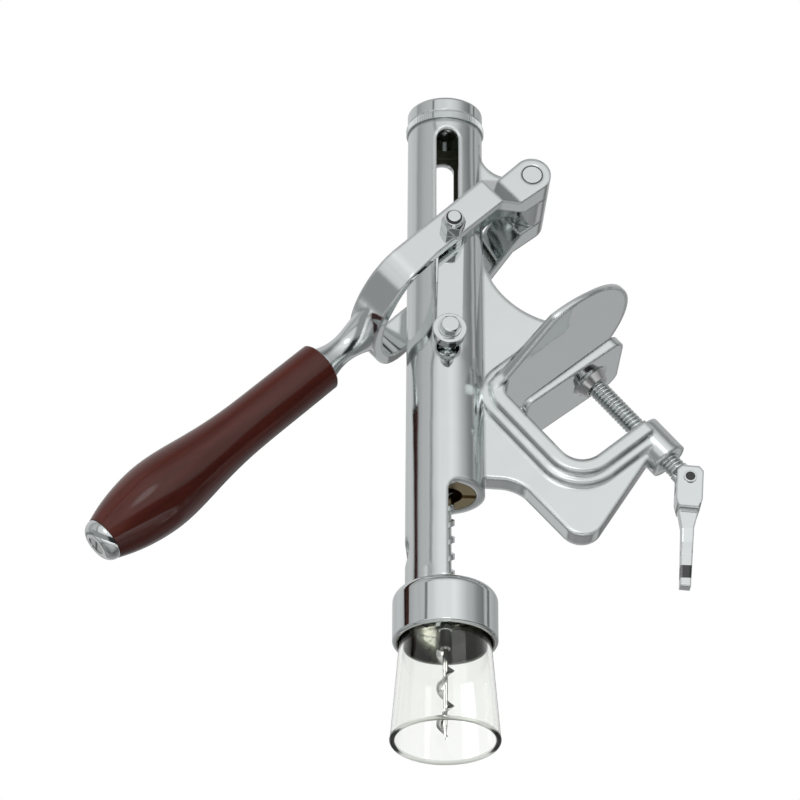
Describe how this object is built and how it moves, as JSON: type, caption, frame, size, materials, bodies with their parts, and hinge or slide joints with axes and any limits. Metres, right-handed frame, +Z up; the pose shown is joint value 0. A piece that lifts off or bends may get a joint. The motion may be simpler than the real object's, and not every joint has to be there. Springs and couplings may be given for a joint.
{
  "type": "counter mount corkscrew",
  "caption": "Counter corkscrew: a hinged lever drives a twisting worm down a slotted barrel into a glass bell, and a screw clamp grips the counter's edge.",
  "frame": {"origin": "centre of the upper jaw's underside, where it rests on the counter", "axes": "+Z up from the counter, -Z into its top face; +Y is the lever's hinge axis; the barrel leans 41 degrees from +Z towards +X, and the bell and grip lie towards -X"},
  "size_m": [0.292, 0.0954, 0.2792],
  "materials": {
    "plated": "polished",
    "steel": "satin",
    "dark_steel": "satin",
    "brass": "satin",
    "wood": "gloss",
    "rubber": "matte",
    "clear_plastic": "gloss",
    "glass": "polished"
  },
  "bodies": {
    "frame": {"frame_casting": "plated", "end_cap": "plated", "guide_bush": "brass", "drive_nut": "brass", "bell_collar": "plated", "bell_seal": "rubber", "bell_sleeve": "clear_plastic", "glass_bell": "glass", "collar_screws": "steel", "hinge_pin": "plated"},
    "lever": {"lever_yoke": "plated", "grip": "wood", "grip_tie_rod": "steel", "grip_end_button": "plated", "link_upper_bolts": "plated", "link_lock_nuts": "plated", "link_upper_spacers": "plated"},
    "links": {"link_front": "plated", "link_rear": "plated", "link_lower_bolts": "plated", "link_lower_washers": "plated"},
    "carriage": {"carriage": "plated"},
    "spindle": {"spindle": "plated", "thrust_washers": "steel", "spindle_nut": "steel", "worm": "plated"},
    "pad": {"pressure_pad": "plated", "pad_socket": "steel"},
    "screw": {"clamp_screw": "steel", "handle_rivet": "dark_steel"},
    "handle": {"clamp_handle": "plated"}
  },
  "joints": [
    {"name": "lever_swing", "type": "hinge", "parent": "frame", "child": "lever", "pos_m": [0.04356, 0, 0.07365], "axis": [0, 1, 0], "range_deg": [0, 132.8]},
    {"name": "link_swing", "type": "hinge", "parent": "lever", "child": "links", "pos_m": [-0.01232, 0, 0.06899], "axis": [0, 1, 0], "range_deg": [-86.29, 0]},
    {"name": "carriage_slide", "type": "slide", "parent": "frame", "child": "carriage", "axis": [0.6561, 0, 0.7547], "range_m": [0, 0.11251]},
    {"name": "worm_spin", "type": "hinge", "parent": "carriage", "child": "spindle", "pos_m": [-0.04598, 0, 0.03161], "axis": [0.6561, 0, 0.7547], "range_deg": [0, 2328.1]},
    {"name": "clamp_travel", "type": "slide", "parent": "frame", "child": "pad", "axis": [0, 0, -1], "range_m": [-0.0023, 0.0219]},
    {"name": "screw_turn", "type": "hinge", "parent": "pad", "child": "screw", "pos_m": [0, 0, -0.05], "axis": [0, 0, -1], "range_deg": [-437, 4151]},
    {"name": "clamp_handle_fold", "type": "hinge", "parent": "screw", "child": "handle", "pos_m": [0, 0, -0.0888], "axis": [0, 1, 0], "range_deg": [-134.5, 16.5]}
  ],
  "couplings": [
    {"joint": "link_swing", "follows": "lever_swing", "ratio": -0.64969},
    {"joint": "carriage_slide", "follows": "lever_swing", "m_per_rad": 0.048539},
    {"joint": "worm_spin", "follows": "lever_swing", "ratio": 17.527},
    {"joint": "screw_turn", "follows": "clamp_travel", "rad_per_m": 3306.9}
  ]
}
